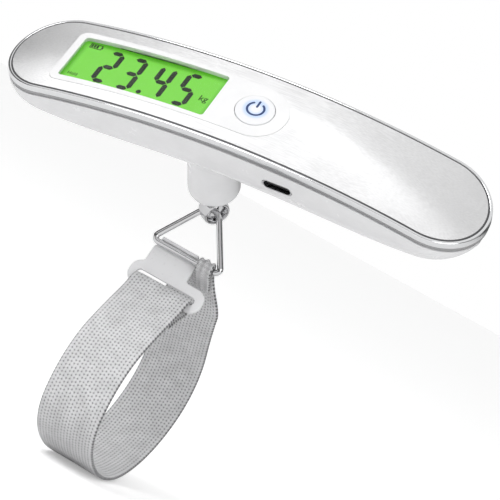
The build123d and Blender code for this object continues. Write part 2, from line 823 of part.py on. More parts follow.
# strap: folded front end in the plate's slot, loop of webbing, and gathered rear end on the bar
strap_x = hang_x + strap_offset
tab_x = hang_x + tab_offset
route_points = [(bar_y + ahead, bar_z + above) for ahead, above in strap_route]
turn = radians(plate_lean)
rail = (slot_top - slot_height + ear_bottom) / 2
mid = front - sheet / 2
rail_y = bar_y + mid * cos(turn) + rail * sin(turn)
rail_z = bar_z - mid * sin(turn) + rail * cos(turn)
rail_half = sqrt((sheet / 2) ** 2 + ((slot_top - slot_height - ear_bottom) / 2) ** 2)
fold_radius = rail_half + fold_gap + strap_thickness
fold = atan2(rail_y - route_points[0][0], rail_z - route_points[0][1])
fold_end = (rail_y - fold_run * sin(fold), rail_z - fold_run * cos(fold))
with BuildPart() as strap_front_end:
    with BuildSketch(side_plane(plate_x, rail_y, rail_z, 180 + degrees(fold))):
        Circle(fold_radius)
        with Locations((0, fold_run / 2)):
            Rectangle(2 * strap_thickness, fold_run)
        Circle(rail_half + fold_gap, mode=Mode.SUBTRACT)
    extrude(amount=strap_width / 2, both=True)
strap_nodes["strap_front_end"] = strap_front_end

tab = atan2(route_points[-1][0] - bar_y, bar_z - route_points[-1][1])
tab_end = (bar_y + tab_run * sin(tab), bar_z - tab_run * cos(tab))
tab_plane = Plane((0, bar_y, bar_z), x_dir=(1, 0, 0), z_dir=(0, sin(tab), -cos(tab)))
with BuildPart() as strap_rear_end:
    with BuildSketch(tab_plane.offset(wire_radius + tab_start)):
        with Locations((tab_x, 0)):
            Rectangle(tab_width, 2 * tab_wrap)
    with BuildSketch(tab_plane.offset(tab_run)):
        with Locations((strap_x, 0)):
            Rectangle(strap_width, strap_thickness)
    loft()
    with BuildSketch(side_plane(tab_x, bar_y, bar_z, 0)):
        Circle(wire_radius + fold_gap + tab_wrap)
    extrude(amount=tab_width / 2, both=True)
    with BuildSketch(side_plane(tab_x, bar_y, bar_z, 0)):
        Circle(wire_radius + fold_gap)
    extrude(amount=strap_width, both=True, mode=Mode.SUBTRACT)
strap_nodes["strap_rear_end"] = strap_rear_end

route = [fold_end] + route_points + [tab_end]
with BuildPart() as strap_webbing:
    with BuildSketch(Plane.YZ.offset(strap_x)):
        with BuildLine() as loop_line:
            FilletPolyline(*route, radius=bend_radii(route))
        trace(loop_line.line, strap_thickness)
    extrude(amount=strap_width / 2, both=True)
strap_nodes["strap_webbing"] = strap_webbing
print("strap length round the loop", round(loop_line.wires()[0].length, 1))

os.makedirs("parts", exist_ok=True)
for name, piece in handle_nodes.items():
    piece.part.move(held)
    piece.part.label = name
    export_step(piece.part, f"parts/{name}.step")
for name, piece in strap_nodes.items():
    piece.part.label = name
    export_step(piece.part, f"parts/{name}.step")
print("eye", round(eye_y, 2), round(eye_z, 2), "bar", round(bar_y, 2), round(bar_z, 2))
print("rail", round(rail_y, 2), round(rail_z, 2), "nodes", len(handle_nodes) + len(strap_nodes))
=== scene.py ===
import json
import math

import bmesh
import bpy
import numpy as np
from mathutils import Matrix, Vector


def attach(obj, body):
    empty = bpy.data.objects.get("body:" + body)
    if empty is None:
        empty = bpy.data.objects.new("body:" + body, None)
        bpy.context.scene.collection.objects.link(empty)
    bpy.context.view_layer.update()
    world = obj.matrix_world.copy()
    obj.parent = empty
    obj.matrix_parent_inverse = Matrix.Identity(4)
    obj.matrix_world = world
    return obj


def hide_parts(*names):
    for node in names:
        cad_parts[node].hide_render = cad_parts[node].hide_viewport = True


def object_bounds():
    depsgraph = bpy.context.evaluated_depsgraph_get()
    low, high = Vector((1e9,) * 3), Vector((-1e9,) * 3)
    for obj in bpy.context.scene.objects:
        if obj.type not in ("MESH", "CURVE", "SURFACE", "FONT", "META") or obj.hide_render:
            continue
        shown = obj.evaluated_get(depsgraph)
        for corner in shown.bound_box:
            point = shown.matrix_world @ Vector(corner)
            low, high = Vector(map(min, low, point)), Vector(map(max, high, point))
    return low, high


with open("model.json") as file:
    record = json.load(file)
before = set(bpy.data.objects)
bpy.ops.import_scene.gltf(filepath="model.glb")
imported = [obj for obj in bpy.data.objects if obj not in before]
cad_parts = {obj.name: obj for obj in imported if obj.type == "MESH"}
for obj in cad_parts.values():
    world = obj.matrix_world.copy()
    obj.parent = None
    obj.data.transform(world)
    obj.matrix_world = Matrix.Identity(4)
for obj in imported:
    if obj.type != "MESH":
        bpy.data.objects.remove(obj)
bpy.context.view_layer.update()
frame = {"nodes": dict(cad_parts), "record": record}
nodes = frame["nodes"]
print("frame loaded:", len(nodes), "nodes")

mm = 0.001
handle = {
    "tilt": math.radians(52.0),  # the handle is held turned this far about X
    "lift": math.radians(7.0),  # and its plain end is then lifted this far
    "archRadius": 278.0,  # of the top, which is arched along X, mm
    "windowCentre": -32.4,
    "windowLength": 46.9,
    "windowHeight": 17.1,
    "lcdDrop": 2.5,  # from the arch down to the display glass
    "buttonCentre": 3.2,
    "buttonProud": 0.45,
}
barPoint = (35.274, -46.339)  # y and z of the ring's bar, mm


# Turns points drawn on the level handle, in mm, to where it is held, in metres: first about X by the tilt t,
# y' = y cos t - z sin t and z' = y sin t + z cos t, then about Y by the lift l, x' = x cos l - z' sin l and
# z'' = x sin l + z' cos l.
def held(points):
    p = np.asarray(points, float)
    c, s = math.cos(handle["tilt"]), math.sin(handle["tilt"])
    cl, sl = math.cos(handle["lift"]), math.sin(handle["lift"])
    x, y, z = p[..., 0], p[..., 1], p[..., 2]
    rear, high = y * c - z * s, y * s + z * c
    return np.stack([x * cl - high * sl, rear, x * sl + high * cl], axis=-1) * mm


# Height of the arched top, or of a layer under it, at x: the root of (R plus drop) squared less x squared,
# less R.
def archHeight(x, drop=0.0):
    return np.sqrt((handle["archRadius"] + drop) ** 2 - x**2) - handle["archRadius"]


# A mesh object from whole arrays of points and faces, with a UV per point if given.
def meshPiece(name, verts, faces, smooth=True, uv=None):
    mesh = bpy.data.meshes.new(name)
    verts = np.asarray(verts, np.float32).reshape(-1, 3)
    mesh.from_pydata(verts.tolist(), [], [tuple(f) for f in faces])
    mesh.polygons.foreach_set("use_smooth", np.full(len(mesh.polygons), smooth))
    if uv is not None:
        layer = mesh.uv_layers.new(name="flatMap")
        loops = np.zeros(len(mesh.loops), np.int32)
        mesh.loops.foreach_get("vertex_index", loops)
        layer.data.foreach_set("uv", np.asarray(uv, np.float32)[loops].ravel())
    mesh.update()
    piece = bpy.data.objects.new(name, mesh)
    bpy.context.scene.collection.objects.link(piece)
    return piece


# Quads of a grid of rows by cols points, wrapped round where a direction is closed.
def gridFaces(rows, cols, closeRows=False, closeCols=False, start=0):
    r = np.arange(rows if closeRows else rows - 1)
    c = np.arange(cols if closeCols else cols - 1)
    r, c = np.meshgrid(r, c, indexing="ij")
    r2, c2 = (r + 1) % rows, (c + 1) % cols
    quads = np.stack([r * cols + c, r * cols + c2, r2 * cols + c2, r2 * cols + c], axis=-1)
    return quads.reshape(-1, 4) + start


# An empty shader node group with the named inputs (kind, name, value) and outputs (kind, name).
def newGroup(name, inputs, outputs):
    group = bpy.data.node_groups.new(name, "ShaderNodeTree")
    for kind, label, value in inputs:
        socket = group.interface.new_socket(label, in_out="INPUT", socket_type="NodeSocket" + kind)
        socket.default_value = value
    for kind, label in outputs:
        group.interface.new_socket(label, in_out="OUTPUT", socket_type="NodeSocket" + kind)
    return group, group.nodes.new("NodeGroupInput"), group.nodes.new("NodeGroupOutput")


# A Math node: a, b and c are sockets or numbers.
def calc(tree, kind, a, b=None, c=None):
    node = tree.nodes.new("ShaderNodeMath")
    node.operation = kind
    for socket, value in zip(node.inputs, (a, b, c)):
        if isinstance(value, (int, float)):
            socket.default_value = value
        elif value is not None:
            tree.links.new(value, socket)
    return node.outputs[0]


# How far a value is from a middle: the size of the value less the middle.
def apart(tree, value, middle):
    return calc(tree, "ABSOLUTE", calc(tree, "SUBTRACT", value, middle))


# Rounded humps one unit apart: the root of the size of sin(pi times the value).
def humps(tree, value):
    wave = calc(tree, "SINE", calc(tree, "MULTIPLY", value, math.pi))
    return calc(tree, "POWER", calc(tree, "ABSOLUTE", wave), 0.5)


# The x, y and z of a vector.
def partsOf(tree, vector):
    node = tree.nodes.new("ShaderNodeSeparateXYZ")
    tree.links.new(vector, node.inputs[0])
    return node.outputs


# A Map Range node, clamped.
def remap(tree, value, low, high, toLow, toHigh, smooth=False):
    node = tree.nodes.new("ShaderNodeMapRange")
    node.interpolation_type = "SMOOTHSTEP" if smooth else "LINEAR"
    tree.links.new(value, node.inputs["Value"])
    for label, number in (("From Min", low), ("From Max", high), ("To Min", toLow), ("To Max", toHigh)):
        node.inputs[label].default_value = number
    return node.outputs["Result"]


# A Noise Texture node.
def noise(tree, vector, scale, detail=2.0, rough=0.5):
    node = tree.nodes.new("ShaderNodeTexNoise")
    tree.links.new(vector, node.inputs["Vector"])
    node.inputs["Scale"].default_value = scale
    node.inputs["Detail"].default_value = detail
    node.inputs["Roughness"].default_value = rough
    return node.outputs["Fac"]


# A colour mix; first and second are sockets or colours.
def blendColour(tree, factor, first, second):
    node = tree.nodes.new("ShaderNodeMix")
    node.data_type = "RGBA"
    tree.links.new(factor, node.inputs["Factor"])
    for socket, value in ((node.inputs["A"], first), (node.inputs["B"], second)):
        if isinstance(value, tuple):
            socket.default_value = (*value, 1.0)
        else:
            tree.links.new(value, socket)
    return node.outputs["Result"]


# Fine parallel lines along local X: noise drawn out lengthwise, plus broad cloudy patches.
def brushLinesGroup():
    group, into, out = newGroup(
        "brushLines",
        [("Vector", "Place", (0, 0, 0)), ("Float", "Fineness", 9000.0), ("Float", "Stretch", 0.012),
         ("Float", "Depth", 1.0)],
        [("Float", "Line"), ("Float", "Cloud")],
    )
    x, y, z = partsOf(group, into.outputs["Place"])
    join = group.nodes.new("ShaderNodeCombineXYZ")
    group.links.new(calc(group, "MULTIPLY", x, into.outputs["Stretch"]), join.inputs[0])
    group.links.new(y, join.inputs[1])
    group.links.new(z, join.inputs[2])
    fine = group.nodes.new("ShaderNodeTexNoise")
    group.links.new(join.outputs[0], fine.inputs["Vector"])
    group.links.new(into.outputs["Fineness"], fine.inputs["Scale"])
    fine.inputs["Detail"].default_value = 3.0
    line = calc(group, "MULTIPLY", calc(group, "SUBTRACT", fine.outputs["Fac"], 0.5), into.outputs["Depth"])
    group.links.new(line, out.inputs["Line"])
    group.links.new(noise(group, into.outputs["Place"], 60.0, 3.0), out.inputs["Cloud"])
    return group


# Moulded plastic: a very fine grain, slow waviness and faint handling marks in the gloss.
def mouldedGrainGroup():
    group, into, out = newGroup(
        "mouldedGrain",
        [("Vector", "Place", (0, 0, 0)), ("Float", "Grain", 4000.0), ("Float", "Gloss", 0.25),
         ("Float", "Marks", 0.08)],
        [("Float", "Roughness"), ("Float", "Height"), ("Float", "Tone")],
    )
    fine = group.nodes.new("ShaderNodeTexNoise")
    group.links.new(into.outputs["Place"], fine.inputs["Vector"])
    group.links.new(into.outputs["Grain"], fine.inputs["Scale"])
    smear = noise(group, into.outputs["Place"], 130.0, 4.0, 0.62)
    marks = calc(group, "MULTIPLY", remap(group, smear, 0.42, 0.68, 0.0, 1.0, True), into.outputs["Marks"])
    group.links.new(calc(group, "ADD", into.outputs["Gloss"], marks), out.inputs["Roughness"])
    wave = noise(group, into.outputs["Place"], 45.0, 1.0)
    height = calc(group, "ADD", calc(group, "MULTIPLY", fine.outputs["Fac"], 0.05), wave)
    group.links.new(height, out.inputs["Height"])
    group.links.new(remap(group, smear, 0.3, 0.8, 0.985, 1.0), out.inputs["Tone"])
    return group


# Handled metal: scattered hairline scratches and soft dull spots.
def wearGroup():
    group, into, out = newGroup(
        "handledMetal",
        [("Vector", "Place", (0, 0, 0)), ("Float", "Scratches", 0.15), ("Float", "Polish", 0.1)],
        [("Float", "Roughness"), ("Float", "Height")],
    )
    lines = group.nodes.new("ShaderNodeTexVoronoi")
    lines.feature = "DISTANCE_TO_EDGE"
    group.links.new(into.outputs["Place"], lines.inputs["Vector"])
    lines.inputs["Scale"].default_value = 420.0
    lines.inputs["Randomness"].default_value = 1.0
    hair = remap(group, lines.outputs["Distance"], 0.0, 0.02, 1.0, 0.0)
    spots = remap(group, noise(group, into.outputs["Place"], 260.0, 4.0, 0.6), 0.5, 0.75, 0.0, 1.0, True)
    both = calc(group, "ADD", calc(group, "MULTIPLY", hair, 0.5), spots)
    extra = calc(group, "MULTIPLY", both, into.outputs["Scratches"])
    group.links.new(calc(group, "ADD", into.outputs["Polish"], extra), out.inputs["Roughness"])
    group.links.new(calc(group, "MULTIPLY", hair, -1.0), out.inputs["Height"])
    return group


groups = {"brush": brushLinesGroup(), "grain": mouldedGrainGroup(), "wear": wearGroup()}


# A material with one Principled shader. Returns it with its tree, shader and Object coordinates.
def startMaterial(name, colour, metallic=0.0, roughness=0.4, **more):
    material = bpy.data.materials.new(name)
    material.use_nodes = True
    tree = material.node_tree
    shader = tree.nodes["Principled BSDF"]
    shader.inputs["Base Color"].default_value = (*colour, 1.0)
    shader.inputs["Metallic"].default_value = metallic
    shader.inputs["Roughness"].default_value = roughness
    for label, value in more.items():
        shader.inputs[label.replace("_", " ")].default_value = value
    place = tree.nodes.new("ShaderNodeTexCoord").outputs["Object"]
    return material, tree, shader, place


# Object coordinates turned back to the level handle, so that X runs along it and Z is its top.
def levelPlace(tree, place):
    for rotation in ((0, handle["lift"], 0), (-handle["tilt"], 0, 0)):
        turn = tree.nodes.new("ShaderNodeMapping")
        turn.inputs["Rotation"].default_value = rotation
        tree.links.new(place, turn.inputs["Vector"])
        place = turn.outputs[0]
    return place


# One of the shared groups as a node, with its values set.
def useGroup(tree, which, place, **values):
    node = tree.nodes.new("ShaderNodeGroup")
    node.node_tree = groups[which]
    tree.links.new(place, node.inputs["Place"])
    for label, value in values.items():
        node.inputs[label].default_value = value
    return node


# A Bump node from a height into the shader's normal.
def bumpInto(tree, shader, height, strength, distance):
    bump = tree.nodes.new("ShaderNodeBump")
    bump.inputs["Strength"].default_value = strength
    bump.inputs["Distance"].default_value = distance
    tree.links.new(height, bump.inputs["Height"])
    tree.links.new(bump.outputs[0], shader.inputs["Normal"])


# Moulded plastic, rubber or coating in one colour, with its grain and handling marks.
def plasticMaterial(name, colour, gloss=0.25, marks=0.08, grain=4000.0, **more):
    material, tree, shader, place = startMaterial(name, colour, 0.0, gloss, **more)
    node = useGroup(tree, "grain", place, Grain=grain, Gloss=gloss, Marks=marks)
    tree.links.new(node.outputs["Roughness"], shader.inputs["Roughness"])
    dim = tuple(c * 0.93 for c in colour)
    tone = remap(tree, node.outputs["Tone"], 0.985, 1.0, 0.0, 1.0)
    tree.links.new(blendColour(tree, tone, dim, colour), shader.inputs["Base Color"])
    bumpInto(tree, shader, node.outputs["Height"], 0.12, 0.0004)
    return material


# Bare or plated metal with hairlines and dull spots.
def metalMaterial(name, colour, polish=0.12, scratches=0.12, **more):
    material, tree, shader, place = startMaterial(name, colour, 1.0, polish, **more)
    node = useGroup(tree, "wear", place, Scratches=scratches, Polish=polish)
    tree.links.new(node.outputs["Roughness"], shader.inputs["Roughness"])
    bumpInto(tree, shader, node.outputs["Height"], 0.05, 0.00005)
    return material


# Brushed metal: long fine lines along the handle in colour, gloss and relief, with painted shade darkening
# the colour towards both ends.
def brushedMaterial(name, colour, rough, fineness, depth, ends=0.0, **more):
    material, tree, shader, place = startMaterial(name, colour, 1.0, rough, **more)
    level = levelPlace(tree, place)
    node = useGroup(tree, "brush", level, Fineness=fineness, Depth=depth)
    line, cloud = node.outputs["Line"], node.outputs["Cloud"]
    tree.links.new(calc(tree, "ADD", calc(tree, "MULTIPLY", line, 0.35), rough), shader.inputs["Roughness"])
    tone = remap(tree, calc(tree, "ADD", calc(tree, "MULTIPLY", line, 1.2), cloud), 0.2, 0.8, 0.0, 1.0)
    dark = tuple(c * 0.86 for c in colour)
    base = blendColour(tree, tone, dark, colour)
    if ends:
        # painted shade: the colour darkens towards both ends of the handle, standing in for the arched
        # plate's dimmer reflection there
        endShadeMask = remap(tree, apart(tree, partsOf(tree, level)[0], -0.008), 0.015, 0.085, 0.0, 1.0, True)
        base = blendColour(tree, calc(tree, "MULTIPLY", endShadeMask, ends), base, tuple(c * 0.55 for c in colour))
    tree.links.new(base, shader.inputs["Base Color"])
    bumpInto(tree, shader, line, 0.25, 0.00006)
    return material


materials = {
    "white_shell": plasticMaterial("shellPlastic", (0.84, 0.84, 0.85), 0.22, 0.06, Coat_Weight=0.25,
                                   Coat_Roughness=0.08),
    "dark_frame": plasticMaterial("framePlastic", (0.07, 0.07, 0.075), 0.45, 0.05),
    "white_panel": plasticMaterial("panelPlastic", (0.90, 0.90, 0.905), 0.12, 0.05, Coat_Weight=0.5,
                                   Coat_Roughness=0.04),
    "acetal": plasticMaterial("bushPlastic", (0.75, 0.75, 0.72), 0.45, 0.1),
    "chrome_plating": metalMaterial("trimChrome", (0.80, 0.805, 0.815), 0.05, 0.05),
    "brushed_plate": brushedMaterial("plateBrushed", (0.88, 0.88, 0.885), 0.44, 5200.0, 1.6, 0.3,
                                     Anisotropic=0.5),
    "grey_rubber": plasticMaterial("contactRubber", (0.3, 0.3, 0.31), 0.7, 0.1),
    "black_plastic": plasticMaterial("blackPlastic", (0.012, 0.012, 0.013), 0.4, 0.1),
    "switch_cap": plasticMaterial("switchCap", (0.7, 0.66, 0.55), 0.5, 0.1),
    "green_board": plasticMaterial("boardMask", (0.015, 0.16, 0.06), 0.35, 0.15, 9000.0),
    "black_chip": plasticMaterial("chipResin", (0.025, 0.025, 0.027), 0.55, 0.1, 12000.0),
    "socket_steel": brushedMaterial("socketSteel", (0.72, 0.72, 0.73), 0.28, 7000.0, 0.8),
    "amber_film": plasticMaterial("flexFilm", (0.5, 0.25, 0.04), 0.3, 0.15),
    "battery_wrap": metalMaterial("batteryFoil", (0.75, 0.75, 0.76), 0.3, 0.3),
    "foam_pad": plasticMaterial("padFoam", (0.06, 0.06, 0.06), 0.95, 0.0, 2500.0),
    "ivory_plastic": plasticMaterial("plugNylon", (0.82, 0.78, 0.66), 0.45, 0.1),
    "red_wire": plasticMaterial("wireRed", (0.5, 0.02, 0.02), 0.45, 0.1),
    "black_wire": plasticMaterial("wireBlack", (0.015, 0.015, 0.015), 0.45, 0.1),
    "white_wire": plasticMaterial("wireWhite", (0.8, 0.8, 0.8), 0.45, 0.1),
    "green_wire": plasticMaterial("wireGreen", (0.02, 0.28, 0.07), 0.45, 0.1),
    "zinc_steel": brushedMaterial("zincSteel", (0.66, 0.66, 0.68), 0.32, 5000.0, 0.8),
    "cell_alloy": brushedMaterial("cellAlloy", (0.78, 0.78, 0.79), 0.35, 6000.0, 0.9),
    "gauge_foil": plasticMaterial("gaugeFoil", (0.6, 0.36, 0.08), 0.3, 0.1),
    "washer_steel": brushedMaterial("washerSteel", (0.7, 0.7, 0.71), 0.25, 6000.0, 0.6),
    "polished_steel": metalMaterial("eyeSteel", (0.62, 0.62, 0.63), 0.07, 0.14),
    "black_screw": metalMaterial("screwOxide", (0.12, 0.12, 0.125), 0.35, 0.25),
    "ring_steel": metalMaterial("ringSteel", (0.66, 0.66, 0.67), 0.08, 0.12),
}


# White coat on sheet metal, with a slightly wavy skin and small worn specks where noise passes a limit.
def coatedMetalMaterial():
    material, tree, shader, place = startMaterial("plateCoat", (0.80, 0.80, 0.81), 0.0, 0.32)
    node = useGroup(tree, "grain", place, Grain=3000.0, Gloss=0.3, Marks=0.12)
    tree.links.new(node.outputs["Roughness"], shader.inputs["Roughness"])
    chips = remap(tree, noise(tree, place, 900.0, 3.0), 0.62, 0.66, 0.0, 1.0, True)
    base = blendColour(tree, calc(tree, "MULTIPLY", chips, 0.25), (0.80, 0.80, 0.81), (0.6, 0.6, 0.61))
    tree.links.new(base, shader.inputs["Base Color"])
    bumpInto(tree, shader, node.outputs["Height"], 0.15, 0.0003)
    return material


button = {
    "signMiddle": 0.4,  # y of the sign's middle, mm
    "glowRadius": 2.6,
    "glowFull": 0.3,  # to each side of the glow's radius
    "glowGone": 1.6,
}


# White button with a pale blue glow round its sign: full at the glow's radius, gone a little to each side.
def buttonMaterial():
    material, tree, shader, place = startMaterial("buttonPlastic", (0.82, 0.825, 0.84), 0.0, 0.3)
    level = levelPlace(tree, place)
    node = useGroup(tree, "grain", level, Grain=4000.0, Gloss=0.28, Marks=0.05)
    tree.links.new(node.outputs["Roughness"], shader.inputs["Roughness"])
    parts = partsOf(tree, level)
    dx = calc(tree, "SUBTRACT", parts[0], handle["buttonCentre"] * mm)
    dy = calc(tree, "SUBTRACT", parts[1], button["signMiddle"] * mm)
    squares = calc(tree, "ADD", calc(tree, "MULTIPLY", dx, dx), calc(tree, "MULTIPLY", dy, dy))
    near = apart(tree, calc(tree, "SQRT", squares), button["glowRadius"] * mm)
    halo = remap(tree, near, button["glowFull"] * mm, button["glowGone"] * mm, 1.0, 0.0, True)
    base = blendColour(tree, halo, (0.83, 0.835, 0.85), (0.56, 0.68, 0.90))
    tree.links.new(base, shader.inputs["Base Color"])
    bumpInto(tree, shader, node.outputs["Height"], 0.12, 0.0004)
    return material


glass = {"shadeLong": 2.2, "shadeHigh": 1.6, "mottle": 0.08, "glow": 0.78}  # widths of painted shade in mm from the edges


# Backlit green glass: a glow that is fullest in the middle and falls off towards the edges, the falloff being
# painted shade of the recess round the window.
def litDisplayMaterial():
    material, tree, shader, place = startMaterial("displayGreen", (0.05, 0.16, 0.02), 0.0, 0.4)
    level = levelPlace(tree, place)
    parts = partsOf(tree, level)
    halfLong, halfHigh = handle["windowLength"] * mm / 2, handle["windowHeight"] * mm / 2
    offLong = apart(tree, parts[0], handle["windowCentre"] * mm)
    offHigh = calc(tree, "ABSOLUTE", parts[1])
    # painted shade: the glow dims near the edges as if shaded by the window's recess
    edgeLong = remap(tree, offLong, halfLong - glass["shadeLong"] * mm, halfLong, 1.0, 0.0, True)
    edgeHigh = remap(tree, offHigh, halfHigh - glass["shadeHigh"] * mm, halfHigh, 1.0, 0.0, True)
    unshadedShare = calc(tree, "MULTIPLY", edgeLong, edgeHigh)
    mottle = remap(tree, noise(tree, level, 180.0, 2.0), 0.3, 0.7, -glass["mottle"], glass["mottle"])
    glow = calc(tree, "ADD", unshadedShare, mottle)
    colour = blendColour(tree, glow, (0.09, 0.42, 0.02), (0.19, 0.66, 0.05))
    tree.links.new(colour, shader.inputs["Emission Color"])
    shader.inputs["Emission Strength"].default_value = glass["glow"]
    return material


# Clear hard-coated window.
def windowMaterial():
    material, tree, shader, place = startMaterial(
        "windowClear", (0.98, 1.0, 0.98), 0.0, 0.02, Transmission_Weight=1.0, IOR=1.05)
    node = useGroup(tree, "grain", place, Grain=800.0, Gloss=0.01, Marks=0.02)
    tree.links.new(node.outputs["Roughness"], shader.inputs["Roughness"])
    return material


materials["white_coated_metal"] = coatedMetalMaterial()
materials["white_button"] = buttonMaterial()
materials["lcd_glass"] = litDisplayMaterial()
materials["clear_window"] = windowMaterial()
materials["backlight_green"] = plasticMaterial("lightGuide", (0.35, 0.72, 0.16), 0.3, 0.05)
print("materials made:", len(materials))


band = {
    "halfStraight": 59.5,
    "radius": 15.5,
    "straightSteps": 60,
    "endSteps": 44,
    # inset and drop of each point of the section, in mm, from the inner top edge round to the inner foot
    "section": [(0.90, -0.02), (0.62, 0.0), (0.30, 0.0), (0.16, -0.03), (0.06, -0.12), (0.0, -0.28),
                (0.0, -0.9), (0.0, -1.5), (0.0, -1.85), (0.02, -1.93), (0.06, -1.99), (0.08, -2.05),
                (0.14, -2.5), (0.22, -3.0), (0.30, -3.36), (0.5, -3.4), (0.90, -3.4), (0.90, -1.7)],
    "shadeFrom": 10,  # first point of the lower part, coloured darker grey as painted shade
    "shadeEnd": 14,  # first point past it
}


# Plan of the handle drawn in by an inset: two straight sides joined by half circles, as x and y.
def slotLine(inset, straightSteps, endSteps):
    s = band["halfStraight"]
    r = band["radius"] - inset
    turn = np.linspace(-np.pi / 2, np.pi / 2, endSteps, endpoint=False)
    run = np.linspace(0, 1, straightSteps, endpoint=False)
    right = np.stack([s + r * np.cos(turn), r * np.sin(turn)], axis=-1)
    rear = np.stack([s - 2 * s * run, np.full_like(run, r)], axis=-1)
    left = np.stack([-s - r * np.cos(turn), -r * np.sin(turn)], axis=-1)
    front = np.stack([-s + 2 * s * run, np.full_like(run, -r)], axis=-1)
    return np.concatenate([right, rear, left, front])


# The section carried round the plan: at each plan point the inset moves inwards and the drop follows the
# arch.
def makeChromeBand():
    rings = []
    for inset, drop in band["section"]:
        plan = slotLine(inset, band["straightSteps"], band["endSteps"])
        rings.append(np.stack([plan[:, 0], plan[:, 1], archHeight(plan[:, 0], drop)], axis=-1))
    grid = np.stack(rings, axis=1)
    rows, cols = grid.shape[:2]
    faces = gridFaces(rows, cols, True, True)
    piece = meshPiece("chromeBand", held(grid), faces)
    piece.data.materials.append(materials["chrome_plating"])
    piece.data.materials.append(materials["satin_edge"])
    # painted shade: the faces of the lower bevel take a darker grey metal, standing in for their dim
    # reflection
    column = np.tile(np.arange(cols), rows)
    satin = (column >= band["shadeFrom"]) & (column < band["shadeEnd"])
    piece.data.polygons.foreach_set("material_index", satin.astype(np.int32))
    return piece


# darker grey metal used as painted shade on the trim's lower bevel
materials["satin_edge"] = metalMaterial("paintedShadeEdge", (0.42, 0.42, 0.425), 0.42, 0.1)
chromeBand = makeChromeBand()
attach(chromeBand, "handle")
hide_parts("chrome_trim")
print("chrome band made")


display = {
    "digitBottom": -6.2,
    "digitTop": 7.5,
    "stroke": 1.55,
    "gap": 0.16,
    "lift": 0.03,
    "thick": 0.05,
    "digits": [("2", -15.0, -9.75), ("3", -7.2, -1.9), ("4", 2.3, 7.7), ("5", 10.8, 16.1)],
    "dot": (0.95, -5.15, 0.75),
    "unit": ("kg", 18.3, -1.9, 3.1),
    "hold": ("Hold", -22.3, -5.9, 1.6),
    "battery": (-22.0, 6.3, 4.3, 1.9),  # x, y, width and height
    "batteryLine": 0.22,
    "tip": (0.4, 0.32, 0.28, 0.44),  # room for it, width, and start and height in shares of the height
    "bars": (0.4, 0.86, 0.6, 3),  # inset, pitch, width and count
}
segmentsOf = {"2": "abged", "3": "abgcd", "4": "fgbc", "5": "afgcd"}


# Places points drawn flat on the glass (mm along, mm up, mm off it) on its slope, then turns them with the
# handle: the glass origin, plus along times its long axis, up times Y, and off times its normal.
def onDisplay(points):
    p = np.asarray(points, float)
    c, r = handle["windowCentre"], handle["archRadius"]
    rise = math.sqrt(r * r - c * c)
    origin = np.array([c, 0, rise - r])
    along = np.array([rise, 0, -c]) / r
    off = np.array([c, 0, rise]) / r
    up = np.array([0.0, 1, 0])
    flat = origin + p[:, :1] * along + p[:, 1:2] * up + (p[:, 2:] - handle["lcdDrop"]) * off
    return held(flat)


# The seven strokes of a digit as six-sided bars: each a centre line with pointed ends, half a stroke to each
# side.
def segmentShapes(left, right):
    low, high, w, g = display["digitBottom"], display["digitTop"], display["stroke"], display["gap"]
    h = w / 2
    x0, x1, y0, y1 = left + h, right - h, low + h, high - h
    ym = (y0 + y1) / 2
    lines = {"a": (x0, y1, x1, y1), "g": (x0, ym, x1, ym), "d": (x0, y0, x1, y0), "f": (x0, ym, x0, y1),
             "b": (x1, ym, x1, y1), "e": (x0, y0, x0, ym), "c": (x1, y0, x1, ym)}
    shapes = {}
    for key, (xa, ya, xb, yb) in lines.items():
        a, b = np.array([xa, ya]), np.array([xb, yb])
        t = (b - a) / np.linalg.norm(b - a)
        n = np.array([-t[1], t[0]])
        a, b = a + t * g, b - t * g
        inA, inB = a + t * h, b - t * h
        shapes[key] = np.array([a, inA - n * h, inB - n * h, b, inB + n * h, inA + n * h])
    return shapes


# Thin prisms from flat outlines: the outline at two heights, joined by side faces.
def flatPrisms(name, outlines, lift, thick, place):
    verts, faces, start = [], [], 0
    for outline in outlines:
        n = len(outline)
        low = np.column_stack([outline, np.full(n, lift)])
        high = np.column_stack([outline, np.full(n, lift + thick)])
        verts.append(np.concatenate([low, high]))
        i = np.arange(n)
        j = (i + 1) % n
        faces += (np.stack([i, j, j + n, i + n], axis=-1) + start).tolist()
        faces.append([start + n + k for k in range(n)])
        faces.append([start + k for k in reversed(range(n))])
        start += 2 * n
    return meshPiece(name, place(np.concatenate(verts)), faces, smooth=False)


# A disc's outline: the middle plus radius times cosine and sine.
def discOutline(x, y, radius, count=24):
    turn = np.linspace(0, 2 * np.pi, count, endpoint=False)
    return np.stack([x + radius * np.cos(turn), y + radius * np.sin(turn)], axis=-1)


# A box from its lower left corner.
def boxOutline(x, y, width, height):
    return np.array([(x, y), (x + width, y), (x + width, y + height), (x, y + height)])


inkMaterial = plasticMaterial("segmentInk", (0.006, 0.012, 0.005), 0.35, 0.05)


# The digits' strokes, the point and the battery sign in one piece.
def makeDigits():
    outlines = []
    for digit, left, right in display["digits"]:
        shapes = segmentShapes(left, right)
        outlines += [shapes[key] for key in segmentsOf[digit]]
    outlines.append(discOutline(*display["dot"]))
    x, y, w, h = display["battery"]
    line = display["batteryLine"]
    room, tipWidth, tipStart, tipHeight = display["tip"]
    inset, pitch, barWidth, count = display["bars"]
    body = w - room
    outlines += [boxOutline(x, y, body, line), boxOutline(x, y + h - line, body, line),
                 boxOutline(x, y + line, line, h - 2 * line),
                 boxOutline(x + body - line, y + line, line, h - 2 * line),
                 boxOutline(x + body, y + h * tipStart, tipWidth, h * tipHeight)]
    outlines += [boxOutline(x + inset + pitch * step, y + inset, barWidth, h - 2 * inset)
                 for step in range(count)]
    piece = flatPrisms("displayDigits", outlines, display["lift"], display["thick"], onDisplay)
    piece.data.materials.append(inkMaterial)
    return piece


